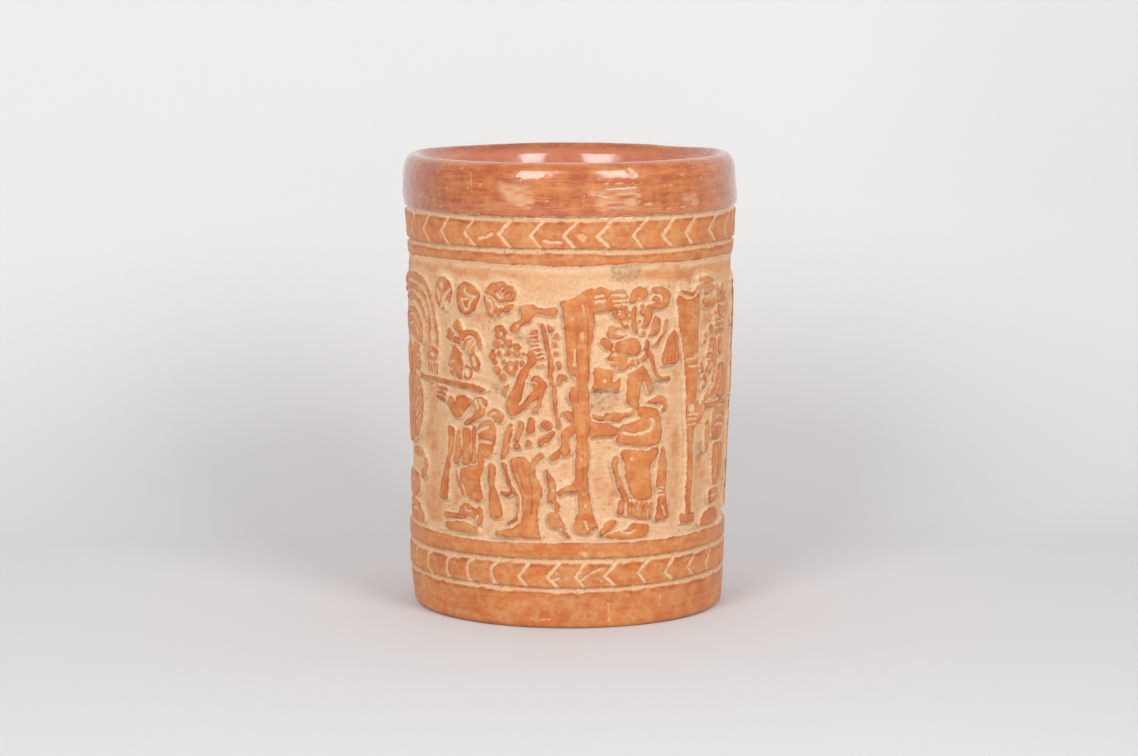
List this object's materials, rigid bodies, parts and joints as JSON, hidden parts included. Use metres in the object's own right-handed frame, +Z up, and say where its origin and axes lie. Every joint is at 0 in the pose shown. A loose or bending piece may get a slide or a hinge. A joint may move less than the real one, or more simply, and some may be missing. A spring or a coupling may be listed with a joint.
{
  "type": "carved ceramic vase",
  "caption": "Free-standing clay cylinder vase, open at the top, with a thick rim, incised chevron bands and a carved frieze of raised figures.",
  "frame": {"origin": "middle of the flat base, on the surface that the vase stands on", "axes": "+Z up along the vase's axis, -Y towards the front of the carved scene, +X to the viewer's right"},
  "size_m": [0.1462, 0.1462, 0.2],
  "materials": {
    "slip": "orange slip, rubbed, semi-matt",
    "rim_slip": "orange slip, burnished to a soft shine",
    "bare_clay": "bare buff clay, sandy and matt",
    "inner_clay": "thin wiped slip, matt"
  },
  "bodies": {
    "root": {"base_slab": "slip", "corner_coil": "inner_clay", "foot_coil": "slip", "lower_chevron_coil": "slip", "lower_border_coil": "slip", "frieze_wall": "bare_clay", "upper_border_coil": "slip", "upper_chevron_coil": "slip", "rim_coil": "rim_slip", "plumed_figure_relief": "slip", "left_figure_relief": "slip", "round_glyph_relief": "slip", "boxed_glyph_relief": "slip", "leaf_glyph_relief": "slip", "scroll_relief": "slip", "middle_figure_relief": "slip", "fringed_spear_relief": "slip", "central_post_relief": "slip", "right_figure_relief": "slip", "tall_torch_relief": "slip", "far_right_figure_relief": "slip", "back_torch_relief": "slip", "back_left_figure_relief": "slip", "back_round_glyph_relief": "slip", "back_boxed_glyph_relief": "slip", "back_leaf_glyph_relief": "slip", "back_right_figure_relief": "slip", "back_scroll_relief": "slip", "back_middle_figure_relief": "slip", "back_spear_relief": "slip", "back_plumed_figure_relief": "slip", "back_second_torch_relief": "slip"}
  },
  "joints": []
}
